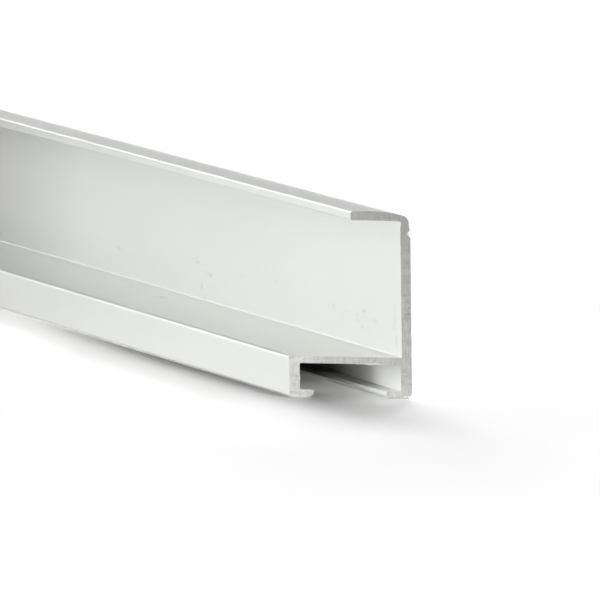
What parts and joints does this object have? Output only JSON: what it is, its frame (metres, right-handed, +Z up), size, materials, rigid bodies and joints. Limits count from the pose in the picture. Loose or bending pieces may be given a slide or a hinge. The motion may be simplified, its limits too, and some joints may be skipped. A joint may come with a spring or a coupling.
{
  "type": "mitred aluminium picture-frame moulding",
  "caption": "Straight extruded metal frame moulding with a deep glass rabbet, a hooked connector channel at the back and mitre-sawn ends.",
  "frame": {"origin": "on the floor plane that the hooks' undersides stand on, under the middle of the bar", "axes": "+X along the bar, +Y across it towards the outer wall (the outside of the frame), +Z up from the connector channel to the face"},
  "size_m": [0.6, 0.016, 0.035],
  "materials": {
    "anodised_aluminium": "fine satin, clear anodised silver; bare and matt where it is sawn"
  },
  "bodies": {
    "root": {"frame_rail": "anodised_aluminium"}
  },
  "joints": []
}
